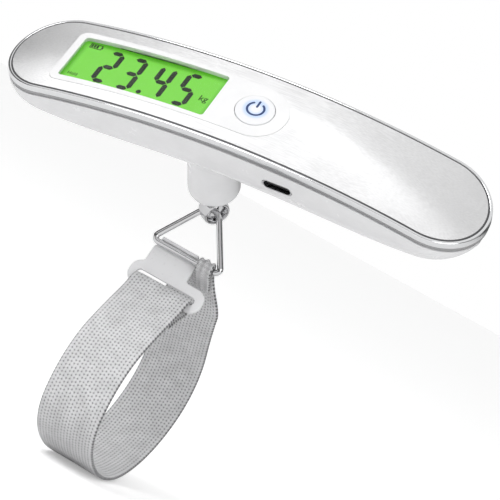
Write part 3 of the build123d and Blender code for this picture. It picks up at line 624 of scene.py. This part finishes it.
# Letters set flat, made a mesh, then laid on the glass.
def makeDisplayText(name, words, x, y, size):
    curve = bpy.data.curves.new(name, "FONT")
    curve.body = words
    curve.size = size
    curve.extrude = display["thick"] / 2
    curve.resolution_u = 4
    setText = bpy.data.objects.new(name + "Set", curve)
    mesh = bpy.data.meshes.new_from_object(setText)
    bpy.data.objects.remove(setText)
    flat = np.zeros(len(mesh.vertices) * 3)
    mesh.vertices.foreach_get("co", flat)
    flat = flat.reshape(-1, 3) + np.array([x, y, display["lift"] + display["thick"] / 2])
    mesh.vertices.foreach_set("co", onDisplay(flat).astype(np.float32).ravel())
    mesh.update()
    piece = bpy.data.objects.new(name, mesh)
    bpy.context.scene.collection.objects.link(piece)
    piece.data.materials.clear()
    piece.data.materials.append(inkMaterial)
    return piece


for piece in (makeDigits(), makeDisplayText("displayUnit", *display["unit"]),
              makeDisplayText("displayHold", *display["hold"])):
    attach(piece, "handle")
print("display content made")


powerSign = {"radius": 2.44, "halfLine": 0.33, "halfHeight": 0.035, "gapAngle": 28.0, "barLow": 0.5,
             "barHigh": 3.3, "lift": 0.01}


# A flat rounded bead carried along a level path: across times cosine and up times sine of the section angle,
# drawn to a point at both ends by a rounded taper.
def ribbonAlong(path, halfLine, halfHeight, sides=10):
    t = np.gradient(path, axis=0)
    t /= np.linalg.norm(t, axis=1)[:, None]
    across = np.stack([t[:, 1], -t[:, 0], np.zeros(len(t))], axis=-1)
    d = np.concatenate([[0], np.cumsum(np.linalg.norm(np.diff(path, axis=0), axis=1))])
    off = np.minimum(d, d[-1] - d) / halfLine
    taper = np.sqrt(np.clip(1 - (1 - np.clip(off, 0, 1)) ** 2, 0.0004, 1))
    turn = np.linspace(0, 2 * np.pi, sides, endpoint=False)
    grid = (path[:, None] + across[:, None] * (halfLine * taper[:, None, None]) * np.cos(turn)[None, :, None]
            + np.array([0, 0, 1.0]) * (halfHeight * taper[:, None, None]) * np.sin(turn)[None, :, None])
    return grid


# The power sign on the arched button: a ring open at the top, and a bar through the opening.
def makePowerSign():
    s = powerSign
    gap = math.radians(s["gapAngle"])
    turn = np.linspace(gap, 2 * np.pi - gap, 72)
    x = handle["buttonCentre"] + s["radius"] * np.sin(turn)
    ring = np.stack([x, button["signMiddle"] + s["radius"] * np.cos(turn), np.zeros_like(x)], axis=-1)
    run = np.linspace(s["barLow"], s["barHigh"], 24)
    flat = np.zeros_like(run)
    bar = np.stack([flat + handle["buttonCentre"], button["signMiddle"] + run, flat], axis=-1)
    verts, faces, start = [], [], 0
    for path in (ring, bar):
        path[:, 2] = archHeight(path[:, 0]) + handle["buttonProud"] + s["lift"]
        grid = ribbonAlong(path, s["halfLine"], s["halfHeight"])
        rows, cols = grid.shape[:2]
        faces += gridFaces(rows, cols, False, True, start).tolist()
        faces.append([start + k for k in reversed(range(cols))])
        faces.append([start + (rows - 1) * cols + k for k in range(cols)])
        verts.append(grid.reshape(-1, 3))
        start += rows * cols
    piece = meshPiece("powerSign", held(np.concatenate(verts)), faces)
    piece.data.materials.append(plasticMaterial("signInk", (0.012, 0.045, 0.17), 0.35, 0.05))
    return piece


sign = makePowerSign()
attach(sign, "button")
print("power sign made")


eye = {
    "x": -9.5,
    "depth": 47.3,
    "turn": math.radians(-38.0),
    # place along the hole and radius of each point of the barrel's section, mm
    "section": [(-2.6, 3.7), (-2.45, 3.92), (-2.0, 4.1), (-1.0, 4.3), (0.0, 4.38), (1.0, 4.3), (2.0, 4.1),
                (2.45, 3.92), (2.6, 3.7), (2.45, 3.45), (2.0, 3.1), (1.2, 2.7), (0.6, 2.53), (0.0, 2.5),
                (-0.6, 2.53), (-1.2, 2.7), (-2.0, 3.1), (-2.45, 3.45)],
    # height over the hole's middle and radius of each point of the rod, mm
    "rod": [(3.6, 0.0), (3.6, 2.5), (20.0, 2.5), (36.4, 2.5), (36.7, 2.2), (36.7, 0.0)],
    "sides": 48,
}


# A barrel ring: the section carried round its hole's axis, which lies level and is turned about the rod; and
# the rod, its radius carried round Z above the ring.
def makeEye():
    turn = np.linspace(0, 2 * np.pi, eye["sides"], endpoint=False)
    section = np.array(eye["section"])
    along = np.array([math.cos(eye["turn"]), math.sin(eye["turn"]), 0.0])
    across = np.array([-along[1], along[0], 0.0])
    up = np.array([0.0, 0.0, 1.0])
    spoke = np.cos(turn)[:, None, None] * across + np.sin(turn)[:, None, None] * up
    ring = section[None, :, :1] * along + section[None, :, 1:] * spoke
    rod = np.array(eye["rod"])
    heights = np.broadcast_to(rod[:, 0], (len(turn), len(rod)))
    post = np.stack([rod[:, 1] * np.cos(turn)[:, None], rod[:, 1] * np.sin(turn)[:, None], heights], axis=-1)
    middle = np.array([eye["x"], 0.0, -eye["depth"]])
    faces = gridFaces(len(turn), len(section), True, True).tolist()
    faces += gridFaces(len(turn), len(rod), True, False, ring.shape[0] * ring.shape[1]).tolist()
    verts = np.concatenate([ring.reshape(-1, 3), post.reshape(-1, 3)]) + middle
    piece = meshPiece("barrelEye", held(verts), faces)
    piece.data.materials.append(materials["polished_steel"])
    return piece


barrelEye = makeEye()
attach(barrelEye, "eye")
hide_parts("load_eye")
print("eye made")


softPlate = {"edge": 0.22, "steps": 3, "sharp": math.radians(40.0), "flat": math.radians(1.0)}


# The hook plate again with its edges rounded: points at one place are joined, then every edge sharper than
# the limit is bevelled.
def makeSoftPlate():
    source = nodes["hook_plate"]
    shape = bmesh.new()
    shape.from_mesh(source.data)
    shape.transform(source.matrix_world)
    bmesh.ops.remove_doubles(shape, verts=shape.verts, dist=1e-6)
    bmesh.ops.dissolve_limit(shape, angle_limit=softPlate["flat"], verts=shape.verts, edges=shape.edges)
    mesh = bpy.data.meshes.new("softHookPlate")
    shape.to_mesh(mesh)
    shape.free()
    piece = bpy.data.objects.new("softHookPlate", mesh)
    bpy.context.scene.collection.objects.link(piece)
    mesh.polygons.foreach_set("use_smooth", np.ones(len(mesh.polygons), bool))
    edge = piece.modifiers.new("edge", "BEVEL")
    edge.width = softPlate["edge"] * mm
    edge.segments = softPlate["steps"]
    edge.limit_method = "ANGLE"
    edge.angle_limit = softPlate["sharp"]
    edge.harden_normals = True
    mesh.materials.clear()
    mesh.materials.append(materials["white_coated_metal"])
    return piece


hookPlate = makeSoftPlate()
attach(hookPlate, "strap")
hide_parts("hook_plate")
print("hook plate made")


strap = {
    "width": 19.0,
    "thickness": 1.2,
    "rail": (32.25, -59.34),
    # places of the fold round the rail: along the front run from it, and to the inner side, mm
    "fold": [(9.5, 0.72), (5.0, 0.95), (1.4, 2.2), (-1.1, 2.2), (-2.65, 0.0), (-1.1, -2.2), (1.4, -2.2),
             (5.0, -0.95), (10.0, -0.6)],
    # places of the wrap on the bar: along the rear run from it, and to the rear, mm
    "wrap": [(11.0, 0.5), (4.0, 1.3), (0.9, 1.8375), (-0.9, 1.8375), (-2.25, 0.0), (-0.9, -1.8375),
             (0.9, -1.8375), (3.6, -0.9), (7.5, -0.75)],
    "front": [(20.5, -69.5), (13, -78.5), (9.6, -90), (11.5, -103.5), (25, -113.6), (44, -116.4), (61, -107),
              (69, -91.5), (66, -77), (54, -65)],
    "columns": 18,
    "stitch": 1.15,
    "slant": 0.4,
    "relief": 0.2,
    "rowStep": 0.36,
    "perColumn": 4,
    "softPasses": 6,
    "tuck": 11.0,  # length from the top of the bar to the tucked end
    "gather": (-21.0, -2.5),  # drawn together between these distances past the top of the bar
    "neckWidth": 4.6,
    "pleats": 2.0,
    "pleatDepth": 0.4,
    "pleatPhase": 0.6,
    # distance and x of the middle, counted from the tail and then back from the tucked end
    "fromTail": [(0, -6.4), (14, -6.4), (45, -6.6), (75, -6.2), (105, -4.8)],
    "fromTuck": [(42, -2.6), (28, -1.6), (14, 1.2), (0, 1.7)],
    "softRows": 41,
    "edgePoints": 3,
    "edgeBulge": 0.55,  # in shares of half the thickness
    "rimWidth": 0.9,
    "rimThickness": 0.72,
    "weaveMiddle": 0.6,
    "waveHeight": 0.10,
    "waveLength": 9.0,
    "inLast": 0.99999,  # keeps the far edge in the last column
}


# A quadratic B-spline: between the middles of two runs the corner weighs 2t(1-t), and the middles (1-t)
# squared and t squared. Its ends are the first and last points.
def roundedRoute(points, steps=24):
    p = np.asarray(points, float)
    mids = (p[:-1] + p[1:]) / 2
    starts = np.concatenate([p[:1], mids[1:-1]])
    ends = np.concatenate([mids[1:-1], p[-1:]])
    corners = p[1:-1]
    t = np.linspace(0, 1, steps, endpoint=False)[None, :, None]
    curve = (1 - t) ** 2 * starts[:, None] + 2 * t * (1 - t) * corners[:, None] + t**2 * ends[:, None]
    return np.concatenate([curve.reshape(-1, p.shape[1]), p[-1:]])


# The line again at even distances along it.
def evenly(line, step):
    d = np.concatenate([[0], np.cumsum(np.linalg.norm(np.diff(line, axis=0), axis=1))])
    at = np.linspace(0, d[-1], int(round(d[-1] / step)) + 1)
    return np.stack([np.interp(at, d, line[:, k]) for k in range(line.shape[1])], axis=-1), at


# The strap's centre line in y and z: tail behind the plate, round the rail, down, round and up, over the bar,
# and tucked back under it.
def strapLine():
    rail, bar = np.array(strap["rail"]), np.array(barPoint)
    down = np.array(strap["front"][0]) - rail
    down /= np.linalg.norm(down)
    inner = np.array([-down[1], down[0]])
    fold = [rail + down * run + inner * side for run, side in strap["fold"]]
    away = np.array(strap["front"][-1]) - bar
    away /= np.linalg.norm(away)
    rear = np.array([-away[1], away[0]])
    wrap = [bar + away * run + rear * side for run, side in strap["wrap"]]
    return roundedRoute(fold + [np.array(q, float) for q in strap["front"]] + wrap)


# Zero below low, one above high, and t squared times (3 less 2t) between.
def smoothStep(value, low, high):
    t = np.clip((value - low) / (high - low), 0, 1)
    return t * t * (3 - 2 * t)


# Height of the knit, 0 to 1, from the place in columns and stitches: one, less a little in the groove between
# columns, a little in the gap between stitches, and most where both meet. The stitches of one column lean the
# other way in the next.
def weaveHeight(across, along):
    part = across - np.floor(across)
    lean = np.where(np.floor(across) % 2 == 0, 1.0, -1.0)
    groove = 1 - np.sqrt(np.clip(np.sin(np.pi * part), 0, 1))
    gap = 1 - np.sqrt(np.abs(np.sin(np.pi * (along + lean * strap["slant"] * (part - 0.5)))))
    return 1 - (0.4 * groove + 0.25 * gap + 0.35 * groove * gap)


# A closed flat tube: at each place along the line, the section is two woven faces with rounded selvedges,
# across along X and out along the line's normal; near the bar it is drawn together into pleats.
def makeStrap():
    line, d = evenly(strapLine(), strap["rowStep"])
    for _ in range(strap["softPasses"]):
        line[1:-1] = (line[:-2] + 2 * line[1:-1] + line[2:]) / 4
    tangent = np.gradient(line, axis=0)
    tangent /= np.linalg.norm(tangent, axis=1)[:, None]
    normal = np.stack([tangent[:, 1], -tangent[:, 0]], axis=-1)
    total = d[-1]
    gather = smoothStep(d - total + strap["tuck"], *strap["gather"])
    width = strap["width"] + (strap["neckWidth"] - strap["width"]) * gather
    at = [run for run, _ in strap["fromTail"]] + [total - run for run, _ in strap["fromTuck"]]
    centre = np.interp(d, at, [x for _, x in strap["fromTail"] + strap["fromTuck"]])
    soft = strap["softRows"]
    centre = np.convolve(np.pad(centre, soft // 2, mode="edge"), np.ones(soft) / soft, mode="valid")
    n = strap["columns"] * strap["perColumn"] + 1
    u = np.linspace(0, 1, n)
    edge = strap["edgePoints"]
    edgeTurn = np.linspace(0, np.pi, edge + 2)[1:-1]
    faceU = np.concatenate([u, np.ones(edge), u[::-1], np.zeros(edge)])
    side = np.concatenate([np.ones(n), np.cos(edgeTurn), -np.ones(n), -np.cos(edgeTurn)])
    bulge = np.concatenate([np.zeros(n), np.sin(edgeTurn), np.zeros(n), -np.sin(edgeTurn)])
    onFace = bulge == 0
    across = faceU * strap["columns"]
    along = d / strap["stitch"]
    weave = weaveHeight(across[None, :] * strap["inLast"], along[:, None])
    rim = np.minimum(faceU, 1 - faceU) * strap["width"]
    thin = np.clip(rim / strap["rimWidth"], 0, 1) ** 0.5
    half = strap["thickness"] / 2
    reliefMm = strap["relief"] * onFace[None, :] * (weave - strap["weaveMiddle"]) * thin[None, :]
    share = strap["rimThickness"] + (1 - strap["rimThickness"]) * thin
    out = side[None, :] * (half * share[None, :] + reliefMm)
    turn = 2 * np.pi * strap["pleats"] * faceU + strap["pleatPhase"]
    pleat = strap["pleatDepth"] * gather[:, None] * np.cos(turn)[None, :]
    wave = strap["waveHeight"] * np.sin(d / strap["waveLength"])[:, None] * np.sin(np.pi * faceU)[None, :]
    out = out + pleat * np.sqrt(np.sin(np.pi * np.clip(faceU, 0.02, 0.98)))[None, :] + wave
    acrossMm = (faceU[None, :] - 0.5) * width[:, None] + bulge[None, :] * half * strap["edgeBulge"]
    grid = np.stack([centre[:, None] + acrossMm, line[:, :1] + normal[:, :1] * out,
                     line[:, 1:] + normal[:, 1:] * out], axis=-1)
    rows, cols = grid.shape[:2]
    faces = gridFaces(rows, cols, False, True).tolist()
    ends = [[k for k in reversed(range(cols))], [(rows - 1) * cols + k for k in range(cols)]]
    uv = np.stack([np.broadcast_to(across[None, :], (rows, cols)),
                   np.broadcast_to(along[:, None], (rows, cols))], axis=-1).reshape(-1, 2)
    piece = meshPiece("strapWebbing", grid.reshape(-1, 3) * mm, faces + ends, uv=uv)
    print("strap cut length", round(float(total), 1), "mm")
    return piece, float(total)


# Knitted webbing from its own map of columns and stitches: rounded ribs of slanted stitches, with painted
# shade making them dark in the holes between them, with loose fibres and slow patches of tone.
def webbingMaterial():
    material, tree, shader, place = startMaterial(
        "webbingKnit", (0.6, 0.6, 0.61), 0.0, 0.8, Sheen_Weight=0.35, Sheen_Roughness=0.5)
    flat = tree.nodes.new("ShaderNodeUVMap")
    flat.uv_map = "flatMap"
    parts = partsOf(tree, flat.outputs[0])
    across, along = parts[0], parts[1]
    part = calc(tree, "FRACT", across)
    parity = calc(tree, "FLOORED_MODULO", calc(tree, "FLOOR", across), 2.0)
    lean = calc(tree, "SUBTRACT", 1.0, calc(tree, "MULTIPLY", parity, 2.0))
    slant = calc(tree, "MULTIPLY", lean, strap["slant"])
    shift = calc(tree, "MULTIPLY", slant, calc(tree, "SUBTRACT", part, 0.5))
    jitter = remap(tree, noise(tree, flat.outputs[0], 0.9, 2.0), 0.3, 0.7, -0.1, 0.1)
    phase = calc(tree, "ADD", calc(tree, "ADD", along, shift), jitter)
    groove = calc(tree, "SUBTRACT", 1.0, humps(tree, part))
    gap = calc(tree, "SUBTRACT", 1.0, humps(tree, phase))
    both = calc(tree, "MULTIPLY", calc(tree, "MULTIPLY", groove, gap), 0.5)
    dip = calc(tree, "ADD", calc(tree, "MULTIPLY", calc(tree, "ADD", groove, gap), 0.33), both)
    height = calc(tree, "SUBTRACT", 1.0, dip)
    fibre = noise(tree, place, 9000.0, 3.0, 0.7)
    # painted shade: the low grooves and holes of the knit take a near-black colour
    tone = remap(tree, height, 0.3, 0.88, 0.0, 1.0, True)
    patch = remap(tree, noise(tree, flat.outputs[0], 0.25, 3.0), 0.3, 0.7, 0.86, 1.04)
    light = blendColour(tree, fibre, (0.58, 0.58, 0.59), (0.82, 0.82, 0.83))
    colour = blendColour(tree, tone, (0.055, 0.055, 0.06), light)
    scale = tree.nodes.new("ShaderNodeVectorMath")
    scale.operation = "SCALE"
    tree.links.new(colour, scale.inputs[0])
    tree.links.new(patch, scale.inputs["Scale"])
    tree.links.new(scale.outputs[0], shader.inputs["Base Color"])
    bumpInto(tree, shader, calc(tree, "ADD", height, calc(tree, "MULTIPLY", fibre, 0.25)), 0.55, 0.0004)
    return material


materials["grey_webbing"] = webbingMaterial()
webbing, strapLength = makeStrap()
webbing.data.materials.append(materials["grey_webbing"])
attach(webbing, "strap")
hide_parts("strap_webbing", "strap_front_end", "strap_rear_end")
print("strap made")


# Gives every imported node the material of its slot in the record.
def finishNodes():
    slots = {row["node"]: row["material_slot"] for row in frame["record"]["subparts"]}
    for name, node in nodes.items():
        material = materials[slots[name]]
        node.data.materials.clear()
        node.data.materials.append(material)


finishNodes()
print("nodes finished")


studio = {
    "floorSize": 14.0,
    "floorLines": 9,
    "floorDrop": 0.0003,
    "floorGlow": 0.36,  # seen by the camera only
    "dome": (0.9, 0.62, 1.1),  # height it grows up to, and its strength at the horizon and there
    # dark bands in the dome: axis, middle, reach of the dark, where it is gone, and what is left in it
    "bands": [(0, 0.72, 0.05, 0.16, 0.12), (0, -0.86, 0.04, 0.12, 0.15), (1, 0.55, 0.04, 0.12, 0.3),
              (2, 0.12, 0.04, 0.14, 0.18)],
    # name, place, aim, size and power
    "lights": [("keyLight", (-0.55, -0.75, 0.85), (0, 0.02, -0.03), 0.7, 6.6),
               ("fillLight", (0.75, -0.65, 0.25), (0, 0.02, -0.04), 0.6, 2.6)],
    "cameraPlace": (0.20884, -0.61656, -0.01349),
    "lookAlong": (-0.29095, 0.95620, -0.03210),
    "roll": 28.50,
    "lens": 167.8,
    "sensor": 36.0,
    "clip": (0.02, 20.0),
}


# A level square under the lowest point of the strap, finely divided so that it stays a mesh of its own.
def makeFloor():
    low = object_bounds()[0]
    h, z, n = studio["floorSize"] / 2, low.z - studio["floorDrop"], studio["floorLines"]
    side = np.linspace(-h, h, n)
    x, y = np.meshgrid(side, side, indexing="ij")
    grid = np.stack([x, y, np.full_like(x, z)], axis=-1)
    piece = meshPiece("studioFloor", grid, gridFaces(n, n), smooth=False)
    material, tree, shader, place = startMaterial("floorPaper", (0.93, 0.93, 0.93), 0.0, 0.9)
    shader.inputs["Emission Color"].default_value = (1, 1, 1, 1)
    rays = tree.nodes.new("ShaderNodeLightPath")
    seen = calc(tree, "MULTIPLY", rays.outputs["Is Camera Ray"], studio["floorGlow"])
    tree.links.new(seen, shader.inputs["Emission Strength"])
    tone = remap(tree, noise(tree, place, 3.0, 2.0), 0.3, 0.7, 0.0, 1.0)
    paper = blendColour(tree, tone, (0.925, 0.925, 0.925), (0.935, 0.935, 0.935))
    tree.links.new(paper, shader.inputs["Base Color"])
    piece.data.materials.append(material)


# A white studio: the camera sees plain white; surfaces see a dome that brightens upwards, times each dark
# band.
def makeWorld():
    world = bpy.data.worlds.new("studioWorld")
    bpy.context.scene.world = world
    world.use_nodes = True
    tree = world.node_tree
    tree.nodes.clear()
    place = tree.nodes.new("ShaderNodeTexCoord").outputs["Generated"]
    axes = partsOf(tree, place)
    top, atHorizon, atTop = studio["dome"]
    glow = remap(tree, axes[2], 0.0, top, atHorizon, atTop, True)
    for axis, middle, dark, gone, left in studio["bands"]:
        shade = remap(tree, apart(tree, axes[axis], middle), dark, gone, left, 1.0, True)
        glow = calc(tree, "MULTIPLY", glow, shade)
    lit = tree.nodes.new("ShaderNodeBackground")
    tree.links.new(glow, lit.inputs["Strength"])
    plain = tree.nodes.new("ShaderNodeBackground")
    plain.inputs["Color"].default_value = (1, 1, 1, 1)
    plain.inputs["Strength"].default_value = 1.0
    rays = tree.nodes.new("ShaderNodeLightPath")
    choose = tree.nodes.new("ShaderNodeMixShader")
    tree.links.new(rays.outputs["Is Camera Ray"], choose.inputs[0])
    tree.links.new(lit.outputs[0], choose.inputs[1])
    tree.links.new(plain.outputs[0], choose.inputs[2])
    out = tree.nodes.new("ShaderNodeOutputWorld")
    tree.links.new(choose.outputs[0], out.inputs["Surface"])


# A round area light turned from its place towards its aim.
def softLight(name, place, aim, size, power):
    light = bpy.data.lights.new(name, "AREA")
    light.shape = "DISK"
    light.size = size
    light.energy = power
    lamp = bpy.data.objects.new(name, light)
    lamp.location = place
    lamp.rotation_mode = "QUATERNION"
    lamp.rotation_quaternion = (Vector(aim) - Vector(place)).to_track_quat("-Z", "Y")
    bpy.context.scene.collection.objects.link(lamp)


# The camera looks along a level line and is rolled about it.
def makeCamera():
    back = -Vector(studio["lookAlong"]).normalized()
    right = Vector((0, 0, 1)).cross(back).normalized()
    up = back.cross(right)
    roll = math.radians(studio["roll"])
    rolledRight = right * math.cos(roll) + up * math.sin(roll)
    rolledUp = up * math.cos(roll) - right * math.sin(roll)
    camera = bpy.data.cameras.new("studioCamera")
    camera.sensor_width = studio["sensor"]
    camera.lens = studio["lens"]
    camera.clip_start, camera.clip_end = studio["clip"]
    view = bpy.data.objects.new("studioCamera", camera)
    bpy.context.scene.collection.objects.link(view)
    turn = Matrix((rolledRight, rolledUp, back)).transposed().to_4x4()
    turn.translation = Vector(studio["cameraPlace"])
    view.matrix_world = turn
    bpy.context.scene.camera = view


makeFloor()
makeWorld()
for light in studio["lights"]:
    softLight(*light)
makeCamera()
bpy.context.scene.view_settings.view_transform = "Standard"
print("stage made")
